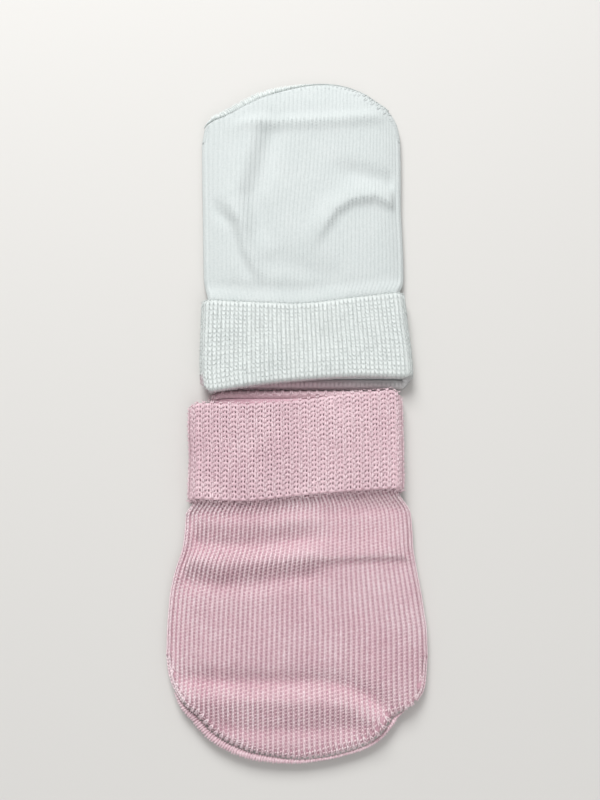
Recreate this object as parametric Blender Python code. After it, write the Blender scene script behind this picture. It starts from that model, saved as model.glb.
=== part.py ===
"""A pair of baby mittens, laid flat end to end with their turned-back cuffs in the middle.

Each mitten is a knitted tube. The hand is the flat tube, closed along its rounded tip by a seam. The
cuff is the open end of the same tube, turned back over the hand, so that four layers of cloth lie on
each other there. The tables are in millimetres: "along" runs from a mitten's lower fold to its tip, and
"across" from left to right. Vertices are turned into metres in one place, in add_piece.

Frame: +X across the mittens, +Y from the pink mitten to the white one, +Z up, z = 0 under the cloth.
"""
import math
from collections import namedtuple

import bmesh
import bpy
from mathutils import Vector

# ---- Driving dimensions, in millimetres --------------------------------------------------------------

MM = 0.001                    # one millimetre in metres
CLOTH = 1.4                   # thickness of the knitted cloth
SEAM_GAP = 0.3                # clearance between pieces that meet
HOLLOW = 0.6                  # room between the two faces of a hand along its sides
BULGE = 1.65                  # how far the rounded side of a hand stands out past its flat faces
LIP = 3.0                     # depth of the cuff's inner lip, where it meets the mouth of the hand
PAIR_GAP = 0.3                # clearance between the two mittens
NECK = 6.0                    # length over which the hand comes down from the cuff to the surface
SEAM_WIDTH = 1.8              # the tip seam, seen from above
SEAM_HEIGHT = 2.2             # the tip seam, seen from the side
CORNER_REACH = 12.0           # length over which a cuff's corner straightens out
SEAM_TAPER = 0.25             # share of half a mitten's width over which the seam thins out

FLAT = 2.0 * CLOTH + HOLLOW   # height of a hand's side
LIFT = CLOTH + SEAM_GAP       # the cuff's lower layer lifts the hand by this much
HEM_REACH = 30.0              # nominal length of the cuff, from its fold to its hem

# ---- Mesh density ------------------------------------------------------------------------------------

COLUMNS = 20                  # strips across one face
SIDE_CROWDING = 0.7           # how far the strips narrow towards the sides, from 0 to 1
ROWS = 23                     # strips from the mouth to the tip
HEM_ROW = 5                   # the row that lies at the cuff's hem
ROUND = 3                     # facets round each side
SEAM_FACETS = 8               # facets round the tip seam

# ---- Tables ------------------------------------------------------------------------------------------

Side = namedtuple("Side", "along left right")
Edge = namedtuple("Edge", "across fold back hem")
Corner = namedtuple("Corner", "left right")
End = namedtuple("End", "across along")
Span = namedtuple("Span", "start stop")
Belly = namedtuple("Belly", "along height")
Crease = namedtuple("Crease", "height width path")
Mitten = namedtuple("Mitten", "name heading colour tip seam sides cuff corner belly creases")

WHITE = Mitten(
    name="white",
    heading=1.0,
    colour=(0.78, 0.80, 0.77),
    tip=[
        End(across=-1.0, along=85.0),
        End(across=-0.98, along=89.6),
        End(across=-0.92, along=91.6),
        End(across=-0.8, along=93.1),
        End(across=-0.6, along=97.1),
        End(across=-0.4, along=100.6),
        End(across=-0.2, along=102.5),
        End(across=0.0, along=103.5),
        End(across=0.2, along=103.8),
        End(across=0.4, along=103.2),
        End(across=0.6, along=100.6),
        End(across=0.75, along=97.1),
        End(across=0.87, along=94.2),
        End(across=0.94, along=91.8),
        End(across=0.98, along=89.0),
        End(across=1.0, along=85.3),
    ],
    seam=Span(start=-0.97, stop=0.9),
    sides=[
        Side(along=0.0, left=-28.6, right=32.7),
        Side(along=4.2, left=-29.1, right=33.0),
        Side(along=12.2, left=-29.25, right=32.7),
        Side(along=20.0, left=-29.25, right=32.0),
        Side(along=25.4, left=-29.2, right=31.6),
        Side(along=28.8, left=-29.2, right=31.3),
        Side(along=30.8, left=-29.7, right=31.2),
        Side(along=34.5, left=-30.6, right=32.8),
        Side(along=39.7, left=-31.0, right=33.2),
        Side(along=50.2, left=-31.45, right=33.2),
        Side(along=60.9, left=-31.9, right=33.05),
        Side(along=71.8, left=-32.4, right=33.4),
        Side(along=83.0, left=-32.8, right=33.6),
    ],
    # where the cuff's upper and lower layers fold, and its hem
    cuff=[
        Edge(across=-1.0, fold=-2.0, back=0.0, hem=27.8),
        Edge(across=-0.5, fold=0.3, back=0.0, hem=27.1),
        Edge(across=0.0, fold=1.8, back=0.0, hem=26.8),
        Edge(across=0.5, fold=2.75, back=0.0, hem=28.5),
        Edge(across=1.0, fold=2.4, back=0.0, hem=30.2),
    ],
    corner=Corner(left=1.4, right=2.4),
    belly=[
        Belly(along=0.0, height=0.0),
        Belly(along=28.0, height=0.0),
        Belly(along=38.0, height=2.0),
        Belly(along=60.0, height=2.8),
        Belly(along=88.0, height=2.6),
        Belly(along=98.0, height=1.6),
        Belly(along=104.0, height=0.4),
    ],
    creases=[
        Crease(height=-1.3, width=3.0, path=[(-10, 89), (-12, 75), (-15, 64), (-13, 52)]),
        Crease(height=0.7, width=3.0, path=[(-15, 88), (-18, 76), (-21, 65), (-18, 52)]),
        Crease(height=-0.6, width=1.6, path=[(-25.5, 58), (-21.8, 53.5), (-20.2, 45), (-16.8, 38)]),
        Crease(height=1.6, width=2.6, path=[(8, 54), (12, 60), (17, 63.5), (24, 64.3), (33, 60.5)]),
        Crease(height=-1.3, width=3.4, path=[(15, 71), (22, 70), (29, 69), (33, 67)]),
        Crease(height=0.9, width=2.6, path=[(-20, 90), (-9, 90.8), (3, 91), (16, 92), (25, 92)]),
    ],
)

PINK = Mitten(
    name="pink",
    heading=-1.0,
    colour=(0.74, 0.52, 0.58),
    tip=[
        End(across=-1.0, along=78.0),
        End(across=-0.98, along=82.3),
        End(across=-0.95, along=85.2),
        End(across=-0.9, along=87.7),
        End(across=-0.84, along=90.0),
        End(across=-0.76, along=91.8),
        End(across=-0.7, along=94.0),
        End(across=-0.62, along=96.8),
        End(across=-0.5, along=99.3),
        End(across=-0.35, along=101.2),
        End(across=-0.2, along=102.0),
        End(across=0.0, along=102.3),
        End(across=0.2, along=101.5),
        End(across=0.35, along=100.4),
        End(across=0.5, along=98.8),
        End(across=0.6, along=96.7),
        End(across=0.66, along=94.3),
        End(across=0.72, along=91.9),
        End(across=0.8, along=90.8),
        End(across=0.88, along=90.2),
        End(across=0.94, along=88.1),
        End(across=0.98, along=85.0),
        End(across=1.0, along=78.5),
    ],
    seam=Span(start=-0.82, stop=0.68),
    sides=[
        Side(along=0.0, left=-32.0, right=29.3),
        Side(along=5.1, left=-32.1, right=29.4),
        Side(along=12.9, left=-32.0, right=29.35),
        Side(along=20.0, left=-31.5, right=29.3),
        Side(along=28.1, left=-31.4, right=29.2),
        Side(along=31.5, left=-31.4, right=29.1),
        Side(along=33.8, left=-31.5, right=30.4),
        Side(along=35.3, left=-31.9, right=31.6),
        Side(along=36.8, left=-33.0, right=32.5),
        Side(along=38.3, left=-33.8, right=32.9),
        Side(along=42.7, left=-34.0, right=33.15),
        Side(along=48.5, left=-34.6, right=33.3),
        Side(along=54.2, left=-36.3, right=34.1),
        Side(along=59.9, left=-37.5, right=35.0),
        Side(along=65.5, left=-37.9, right=35.7),
        Side(along=71.0, left=-38.05, right=36.3),
        Side(along=84.6, left=-37.9, right=36.1),
    ],
    cuff=[
        Edge(across=-1.0, fold=4.7, back=4.5, hem=34.4),
        Edge(across=-0.92, fold=4.75, back=4.0, hem=34.5),
        Edge(across=-0.86, fold=4.8, back=1.2, hem=34.6),
        Edge(across=-0.78, fold=4.85, back=0.2, hem=34.7),
        Edge(across=-0.5, fold=4.9, back=0.0, hem=34.9),
        Edge(across=0.0, fold=3.9, back=0.0, hem=33.4),
        Edge(across=0.5, fold=1.9, back=0.0, hem=32.2),
        Edge(across=1.0, fold=0.6, back=0.0, hem=31.3),
    ],
    corner=Corner(left=1.2, right=2.6),
    belly=[
        Belly(along=0.0, height=0.0),
        Belly(along=33.0, height=0.0),
        Belly(along=41.0, height=2.4),
        Belly(along=54.0, height=2.9),
        Belly(along=80.0, height=2.9),
        Belly(along=93.0, height=2.2),
        Belly(along=103.0, height=0.5),
    ],
    creases=[
        Crease(height=0.9, width=3.0, path=[(-33, 40), (-22, 41.5), (-10, 41.5), (0, 40.5)]),
        Crease(height=-1.1, width=2.8, path=[(-34, 46.5), (-22, 47.5), (-11, 47.5), (2, 45.5)]),
        Crease(height=1.5, width=3.2, path=[(-34, 51), (-23, 53.5), (-11.5, 52.5), (3, 51), (17, 49.8), (33, 49.6)]),
        Crease(height=-1.0, width=2.8, path=[(-34, 58), (-23, 59), (-11.5, 58), (3, 56), (17, 53.8), (33, 52.8)]),
        Crease(height=-1.6, width=3.0, path=[(-33, 84), (-20, 84.8), (6, 85), (13, 86), (20, 89.5), (27, 94)]),
        Crease(height=0.9, width=2.6, path=[(-31, 89), (-20, 90), (0, 90.5), (14, 91), (22, 95)]),
        Crease(height=-1.3, width=2.8, path=[(-27, 96.5), (-15, 98), (0, 98), (15, 97), (22, 96)]),
    ],
)


# ---- Reading the tables ------------------------------------------------------------------------------

def read_table(table, key, column, at):
    """A smooth value from a table: cubic between its rows, and steady past its ends."""
    keys = [getattr(row, key) for row in table]
    values = [getattr(row, column) for row in table]
    if at <= keys[0]:
        return values[0]
    if at >= keys[-1]:
        return values[-1]
    row = max(i for i in range(len(keys) - 1) if keys[i] <= at)

    def slope(i):
        low, high = max(i - 1, 0), min(i + 1, len(keys) - 1)
        return (values[high] - values[low]) / (keys[high] - keys[low])

    span = keys[row + 1] - keys[row]
    t = (at - keys[row]) / span
    return (values[row] * (1 + 2 * t) * (1 - t) ** 2
            + values[row + 1] * t * t * (3 - 2 * t)
            + slope(row) * span * t * (1 - t) ** 2
            - slope(row + 1) * span * t * t * (1 - t))


def smooth_step(t):
    t = min(max(t, 0.0), 1.0)
    return t * t * (3.0 - 2.0 * t)


def distance_to_path(across, along, path):
    """Distance to a line of points, and how near its ends the closest place is, 0 there and 1 inside."""
    here = Vector((across, along))
    best = (float("inf"), 0.0)
    for i in range(len(path) - 1):
        start, end = Vector(path[i]), Vector(path[i + 1])
        run = end - start
        t = min(max((here - start).dot(run) / run.length_squared, 0.0), 1.0)
        gap = (here - start - run * t).length
        place = (i + t) / (len(path) - 1)
        best = min(best, (gap, smooth_step(4.0 * min(place, 1.0 - place) + 0.35)))
    return best


# ---- The form of a hand ------------------------------------------------------------------------------

def tip_end(mitten, u):
    """Length of the flat cloth at u, from -1 at the left side to 1 at the right."""
    return read_table(mitten.tip, "across", "along", u)


def across_at(mitten, u, along):
    """Where the line of stitches u lies across the mitten, inside its rounded sides."""
    left = read_table(mitten.sides, "along", "left", along) + BULGE
    right = read_table(mitten.sides, "along", "right", along) - BULGE
    return left + (right - left) * (u + 1.0) / 2.0


def hem_at(mitten, u):
    return read_table(mitten.cuff, "across", "hem", u)


def fold_at(mitten, u, upper):
    """Where the cuff folds: its upper layer stops short of its lower one."""
    return read_table(mitten.cuff, "across", "fold" if upper else "back", u)


def corner_delay(mitten, outward, run):
    """How much further back the cloth lies on the rounded side, run from the fold: round corners."""
    depth = mitten.corner.left if outward.x < 0.0 else mitten.corner.right
    return depth * max(1.0 - run / CORNER_REACH, 0.0) ** 2


def levels(mitten, u, along):
    """Heights of the underside and of the top of a hand."""
    past_hem = along - hem_at(mitten, u) - SEAM_GAP
    low = LIFT * (1.0 - smooth_step(past_hem / NECK))
    crown = read_table(mitten.belly, "along", "height", along) * (1.0 - u ** 4)
    across = across_at(mitten, u, along)
    loose = smooth_step(past_hem / NECK) * smooth_step(6.0 * (1.0 - abs(u)))
    for crease in mitten.creases:
        gap, body = distance_to_path(across, along, crease.path)
        crown += crease.height * body * loose * math.exp(-(gap / crease.width) ** 2)
    return low, low + FLAT + max(crown, -HOLLOW / 2.0)


def column_places():
    """Places of the stitch lines across a face, closer together at the sides."""
    even = [2.0 * j / COLUMNS - 1.0 for j in range(COLUMNS + 1)]
    return [v + SIDE_CROWDING * (math.sin(math.pi / 2.0 * v) - v) for v in even]


def face_point(mitten, u, along, inset, upper):
    """A point of the upper or lower face, moved into the cloth by inset."""
    low, high = levels(mitten, u, along)
    height = high - inset if upper else low + inset
    return Vector((across_at(mitten, u, along), along, height))


def rounded_side(top, bottom, outward, reach, delay=0.0):
    """Points round a side, from just under the top one to just over the bottom one.

    Where the two layers end at different lengths, the side keeps to the lower one's for longer.
    """
    points = []
    for k in range(1, ROUND):
        angle = math.pi * k / ROUND
        share = (1.0 + math.cos(angle)) / 2.0
        point = bottom.lerp(top, share)
        point.y = bottom.y + (top.y - bottom.y) * share * share + delay * math.sin(angle) ** 2
        points.append(point + outward * (reach * math.sin(angle)))
    return points


def outward_normals(points):
    """Flat directions that point out of an outline that runs clockwise as seen from above."""
    normals = []
    for i in range(len(points)):
        run = points[min(i + 1, len(points) - 1)] - points[max(i - 1, 0)]
        normals.append(Vector((-run.y, run.x, 0.0)).normalized())
    return normals


# ---- The pieces --------------------------------------------------------------------------------------

def face_row(mitten, i, inset, upper):
    """Row i of a hand's face, from its mouth at 0 to its tip at ROWS, left to right.

    One row lies at the cuff's hem, so that the hand widens only where it is clear of the cuff.
    """
    row = []
    for u in column_places():
        mouth, hem = fold_at(mitten, u, upper) + LIP + SEAM_GAP, hem_at(mitten, u) + SEAM_GAP
        if i <= HEM_ROW:
            along = mouth + (hem - mouth) * i / HEM_ROW
        else:
            along = hem + (tip_end(mitten, u) - hem) * (i - HEM_ROW) / (ROWS - HEM_ROW)
        row.append(face_point(mitten, u, along, inset, upper))
    return row


def hand_shell(mitten, inset, vertices, faces):
    """One skin of a hand: two faces joined round the sides and the tip. Returns its open mouth."""
    grid = {}
    for upper in (True, False):
        for i in range(ROWS + 1):
            for j, point in enumerate(face_row(mitten, i, inset, upper)):
                grid[upper, i, j] = len(vertices)
                vertices.append(point)
        for i in range(ROWS):
            for j in range(COLUMNS):
                faces.append([grid[upper, i, j], grid[upper, i, j + 1],
                              grid[upper, i + 1, j + 1], grid[upper, i + 1, j]])
    border = ([(i, 0) for i in range(ROWS + 1)] + [(ROWS, j) for j in range(1, COLUMNS + 1)]
              + [(i, COLUMNS) for i in range(ROWS - 1, -1, -1)])
    upper_line = [vertices[grid[True, i, j]] for i, j in border]
    strips = []
    for (i, j), normal in zip(border, outward_normals(upper_line)):
        top, bottom = grid[True, i, j], grid[False, i, j]
        first = len(vertices)
        run = vertices[top].y - fold_at(mitten, column_places()[j], True)
        delay = corner_delay(mitten, normal, run)
        vertices.extend(rounded_side(vertices[top], vertices[bottom], normal, BULGE - inset, delay))
        strips.append([top, *range(first, first + ROUND - 1), bottom])
    for here, there in zip(strips, strips[1:]):
        for k in range(ROUND):
            faces.append([here[k], there[k], there[k + 1], here[k + 1]])
    return ([grid[True, 0, j] for j in range(COLUMNS)] + strips[-1]
            + [grid[False, 0, j] for j in range(COLUMNS - 1, -1, -1)] + strips[0][-2:0:-1])


def make_hand(mitten):
    vertices, faces = [], []
    outer = hand_shell(mitten, 0.0, vertices, faces)
    inner = hand_shell(mitten, CLOTH, vertices, faces)
    for k in range(len(outer)):
        following = (k + 1) % len(outer)
        faces.append([outer[k], outer[following], inner[following], inner[k]])
    return add_piece(mitten, "hand", vertices, faces)


def cuff_section():
    """The cuff cut lengthwise, as (distance from the fold, height over the hand) round its outline."""
    middle = SEAM_GAP / 2.0
    outer, inner = CLOTH + middle, middle
    leg = [HEM_REACH * share for share in (1.0, 0.75, 0.5, 0.25)]
    section = [(HEM_REACH - CLOTH / 3.0 if run == HEM_REACH else run, SEAM_GAP + CLOTH) for run in leg]
    for k in range(5):
        angle = math.pi / 2.0 - math.pi * k / 4.0
        section.append((outer - outer * math.cos(angle), middle + outer * math.sin(angle)))
    section += [(LIP - 4.0 * SEAM_GAP, -CLOTH), (LIP - 4.0 * SEAM_GAP, 0.0), (outer, 0.0)]
    section += [(outer - inner, middle), (outer, SEAM_GAP)]
    section += [(run, SEAM_GAP) for run in reversed(leg[1:])]
    section += [(HEM_REACH - CLOTH / 3.0, SEAM_GAP), (HEM_REACH, SEAM_GAP + CLOTH / 2.0)]
    return section


def cuff_loop(mitten, run, height, vertices):
    """One loop of the cuff round the flat hand, run from the fold and height over the hand's cloth."""
    places = column_places()
    faces_of_loop = {}
    for upper in (True, False):
        line = []
        for u in places:
            fold = fold_at(mitten, u, upper)
            stretch = hem_at(mitten, u) - fold - HEM_REACH
            along = fold + run + stretch * smooth_step((run - LIP) / (HEM_REACH - LIP))
            line.append(face_point(mitten, u, along, -height, upper))
        faces_of_loop[upper] = line
    top, bottom = faces_of_loop[True], faces_of_loop[False]
    sides = []
    for end, outward in ((-1, Vector((1.0, 0.0, 0.0))), (0, Vector((-1.0, 0.0, 0.0)))):
        delay = corner_delay(mitten, outward, run)
        sides.append(rounded_side(top[end], bottom[end], outward, BULGE + height, delay))
    right, left = sides
    first = len(vertices)
    vertices.extend(top + right + bottom[::-1] + left[::-1])
    return list(range(first, len(vertices)))


def make_cuff(mitten):
    vertices, faces = [], []
    loops = [cuff_loop(mitten, run, height, vertices) for run, height in cuff_section()]
    for here, there in zip(loops, loops[1:] + loops[:1]):
        for k in range(len(here)):
            following = (k + 1) % len(here)
            faces.append([here[k], here[following], there[following], there[k]])
    return add_piece(mitten, "cuff", vertices, faces)


def make_tip_seam(mitten):
    """The seam follows the rim of the tip, just clear of it, and thins out towards both its ends."""
    vertices, faces = [], []
    before, tip = face_row(mitten, ROWS - 1, 0.0, True), face_row(mitten, ROWS, 0.0, True)
    rim = [before[0], *tip, before[-1]]
    places = [-1.0, *column_places(), 1.0]
    normals = outward_normals(rim)
    line = [i for i, u in enumerate(places) if mitten.seam.start <= u <= mitten.seam.stop]
    rings = []
    for i in line:
        edge = min(places[i] - mitten.seam.start, mitten.seam.stop - places[i])
        swell = 0.4 + 0.6 * smooth_step(edge / SEAM_TAPER)
        centre = rim[i] + normals[i] * (BULGE + SEAM_GAP + SEAM_WIDTH / 2.0 * swell)
        centre.z = FLAT / 2.0
        rings.append(len(vertices))
        for k in range(SEAM_FACETS):
            angle = 2.0 * math.pi * k / SEAM_FACETS
            vertices.append(centre + normals[i] * (SEAM_WIDTH / 2.0 * swell * math.cos(angle))
                            + Vector((0.0, 0.0, SEAM_HEIGHT / 2.0 * swell * math.sin(angle))))
    for here, there in zip(rings, rings[1:]):
        for k in range(SEAM_FACETS):
            following = (k + 1) % SEAM_FACETS
            faces.append([here + k, here + following, there + following, there + k])
    faces.append([rings[0] + k for k in range(SEAM_FACETS)])
    faces.append([rings[-1] + k for k in range(SEAM_FACETS)])
    return add_piece(mitten, "tip_seam", vertices, faces)


# ---- Objects and materials ---------------------------------------------------------------------------

def knit_material(name, colour):
    material = bpy.data.materials.new(name)
    material.use_nodes = True
    shader = material.node_tree.nodes["Principled BSDF"]
    shader.inputs["Base Color"].default_value = (*colour, 1.0)
    shader.inputs["Roughness"].default_value = 0.9
    shader.inputs["Metallic"].default_value = 0.0
    return material


def add_piece(mitten, part, vertices, faces):
    """Make one closed piece, placed on its side of the pair, with its faces pointing out."""
    name = f"{mitten.name}_{part}"
    mesh = bpy.data.meshes.new(name)
    start = PAIR_GAP / 2.0
    placed = [(v.x * MM, mitten.heading * (start + v.y) * MM, v.z * MM) for v in vertices]
    mesh.from_pydata(placed, [], faces)
    shape = bmesh.new()
    shape.from_mesh(mesh)
    bmesh.ops.triangulate(shape, faces=shape.faces[:])
    bmesh.ops.recalc_face_normals(shape, faces=shape.faces[:])
    shape.to_mesh(mesh)
    shape.free()
    mesh.shade_smooth()
    mesh.materials.append(knit_material(f"{name}_knit", mitten.colour))
    piece = bpy.data.objects.new(name, mesh)
    bpy.context.collection.objects.link(piece)
    print(name, len(mesh.polygons), "triangles")
    return piece


def centre_pair(pieces):
    """Move the meshes so that the middle of the pair's box lies over the origin."""
    for axis in (0, 1):
        places = [v.co[axis] for piece in pieces for v in piece.data.vertices]
        middle = (min(places) + max(places)) / 2.0
        for piece in pieces:
            for v in piece.data.vertices:
                v.co[axis] -= middle
        print("XY"[axis], "moved by", round(-middle / MM, 3), "mm")


def main():
    for item in list(bpy.data.objects):
        bpy.data.objects.remove(item, do_unlink=True)
    pieces = [make(mitten) for mitten in (WHITE, PINK) for make in (make_hand, make_cuff, make_tip_seam)]
    centre_pair(pieces)


main()
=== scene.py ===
# %% [markdown]
# # A pair of knitted baby mittens
# Two mittens lie flat, end to end: a white one and a pink one, with their turned-back cuffs in the
# middle. This lesson builds them the way the cloth is made. First comes the smooth form of the flat
# tubes, worked out from short tables of sizes. Then the cloth gets its ribs, and each rib its column
# of V-shaped stitches. The cuffs show the reverse side, an open mesh of slanting strands. The packed
# model is loaded first, because every piece has to lie where its solid lies.

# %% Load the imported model
import math
from collections import namedtuple
from functools import partial

import bmesh
import bpy
import numpy as np
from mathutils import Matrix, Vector


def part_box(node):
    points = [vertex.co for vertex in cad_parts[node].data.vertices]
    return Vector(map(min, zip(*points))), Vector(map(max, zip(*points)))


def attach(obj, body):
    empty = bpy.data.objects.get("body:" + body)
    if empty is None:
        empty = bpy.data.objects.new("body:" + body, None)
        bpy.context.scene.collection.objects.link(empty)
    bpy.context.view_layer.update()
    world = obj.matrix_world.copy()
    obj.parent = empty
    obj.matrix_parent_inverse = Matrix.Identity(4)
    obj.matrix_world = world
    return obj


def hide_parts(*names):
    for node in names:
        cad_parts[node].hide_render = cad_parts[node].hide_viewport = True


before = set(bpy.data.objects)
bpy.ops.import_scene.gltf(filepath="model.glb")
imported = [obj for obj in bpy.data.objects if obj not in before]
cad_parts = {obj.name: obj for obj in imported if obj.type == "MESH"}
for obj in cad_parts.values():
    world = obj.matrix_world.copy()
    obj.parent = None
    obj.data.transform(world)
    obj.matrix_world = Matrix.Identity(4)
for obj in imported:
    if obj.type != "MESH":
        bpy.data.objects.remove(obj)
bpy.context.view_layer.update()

MM = 0.001
BODY = "root"
print("nodes:", ", ".join(sorted(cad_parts)))

# %% [markdown]
# ## The sizes of the cloth
# The tables below hold the two mittens' sizes in millimetres. "Along" runs from a mitten's lower fold
# to its tip, and "across" from left to right. They are the sizes that the solids were made from, so
# the fine cloth lies on them. A namedtuple gives each column a name, which reads better than a bare
# list of numbers.

# %% Thicknesses and gaps
CLOTH = 1.4                   # thickness of the knitted cloth
SEAM_GAP = 0.3                # clearance between pieces that meet
HOLLOW = 0.6                  # room between the two faces of a hand along its sides
BULGE = 1.65                  # how far the rounded side stands out past the flat faces
LIP = 3.0                     # depth of the cuff's inner lip
PAIR_GAP = 0.3                # clearance between the two mittens
NECK = 6.0                    # length over which the hand comes down from the cuff to the surface
SEAM_HEIGHT = 2.2             # the tip seam is never higher than this
FLAT = 2.0 * CLOTH + HOLLOW   # height of a hand's side
LIFT = CLOTH + SEAM_GAP       # the cuff's lower layer lifts the hand by this much
CORNER_REACH = 12.0           # length over which a cuff's corner straightens out
HEM_REACH = 30.0              # nominal length of a cuff from its fold to its hem

# %% Tables of the two mittens
Side = namedtuple("Side", "along left right")
Edge = namedtuple("Edge", "across fold back hem")
Corner = namedtuple("Corner", "left right")
End = namedtuple("End", "across along")
Belly = namedtuple("Belly", "along height")
Crease = namedtuple("Crease", "height width path sharp", defaults=[1.0])
Sway = namedtuple("Sway", "along shift")
Rim = namedtuple("Rim", "across cloth seam")
Mitten = namedtuple("Mitten", "name heading ribs relief tip sides cuff corner belly creases under sway rim")


def table(kind, *rows):
    """Rows of plain numbers, with the kind's names for their columns."""
    return [kind(*row) for row in rows]


WHITE = Mitten(
    name="white", heading=1.0, ribs=48, relief=0.04,
    tip=table(End,
        (-1.0, 85.0), (-0.98, 89.6), (-0.92, 91.6), (-0.8, 93.1), (-0.6, 97.1), (-0.4, 100.6),
        (-0.2, 102.5), (0.0, 103.5), (0.2, 103.8), (0.4, 103.2), (0.6, 100.6), (0.75, 97.1), (0.87, 94.2),
        (0.94, 91.8), (0.98, 89.0), (1.0, 85.3)),
    sides=table(Side,
        (0.0, -28.6, 32.7), (4.2, -29.1, 33.0), (12.2, -29.25, 32.7), (20.0, -29.25, 32.0),
        (25.4, -29.2, 31.6), (28.8, -29.2, 31.3), (30.8, -29.7, 31.2), (34.5, -30.6, 32.8),
        (39.7, -31.0, 33.2), (50.2, -31.45, 33.2), (60.9, -31.9, 33.05), (71.8, -32.4, 33.4),
        (83.0, -32.8, 33.6)),
    cuff=table(Edge,
        (-1.0, -2.0, 0.0, 27.8), (-0.5, 0.3, 0.0, 27.1), (0.0, 1.8, 0.0, 26.8), (0.5, 2.75, 0.0, 28.5),
        (1.0, 2.4, 0.0, 30.2)),
    corner=Corner(left=1.4, right=2.4),
    belly=table(Belly,
        (0.0, 0.0), (28.0, 0.0), (36.0, 1.8), (60.0, 2.4), (88.0, 2.4), (98.0, 2.1), (104.0, 1.3)),
    creases=table(Crease,
        (-1.3, 3.8, [(-7, 97), (-9, 88), (-12, 75), (-15, 64), (-13, 52), (-9, 44)]),
        (1.0, 3.8, [(-14, 96), (-15, 88), (-18, 76), (-21, 65), (-18, 54), (-12, 44)]),
        (-0.7, 2.0, [(-31, 66), (-26, 58), (-22, 53.5), (-20.2, 45), (-16.8, 38), (-13, 33)]),
        (0.6, 2.0, [(-27, 67), (-22, 59), (-18.5, 53.5), (-17, 45), (-13.5, 38), (-10, 34)]),
        (1.4, 4.4, [(2, 44), (7, 52), (11, 58.5), (16.5, 62.3), (24, 63.6), (33, 60.6), (42, 55)], 0.42),
        (-1.2, 3.4, [(9, 76), (16, 73), (22, 71.5), (29, 70), (36, 68), (43, 66)]),
        (1.0, 2.4, [(-27, 88), (-18, 90.3), (-9, 90.8), (3, 91), (16, 92), (25, 93), (31, 94)]),
        (-0.6, 4.0, [(-16, 40), (-6, 41), (6, 37), (16, 34)])),
    under=table(Crease,
        (0.5, 3.0, [(-24, 62), (-12, 66), (4, 64), (18, 68)]),
        (0.4, 2.4, [(8, 84), (18, 80), (30, 82)]),
        (0.4, 2.6, [(-20, 46), (-4, 43), (10, 46)])),
    sway=table(Sway,
        (36.0, 0.0), (55.0, 1.2), (75.0, 3.2), (92.0, 4.4), (104.0, 4.8)),
    rim=table(Rim,
        (-0.99, 0.0, 0.0), (-0.96, 0.0, 0.5), (-0.9, -0.1, 1.8), (-0.82, -0.2, 2.2), (-0.6, -0.8, 2.9),
        (-0.35, -0.5, 2.6), (-0.1, 0.6, 1.5), (0.1, 1.5, 0.6), (0.3, 1.8, 0.3), (0.82, 1.8, 0.3),
        (0.92, 1.0, 0.1), (1.0, 0.0, 0.0)),
)

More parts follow.
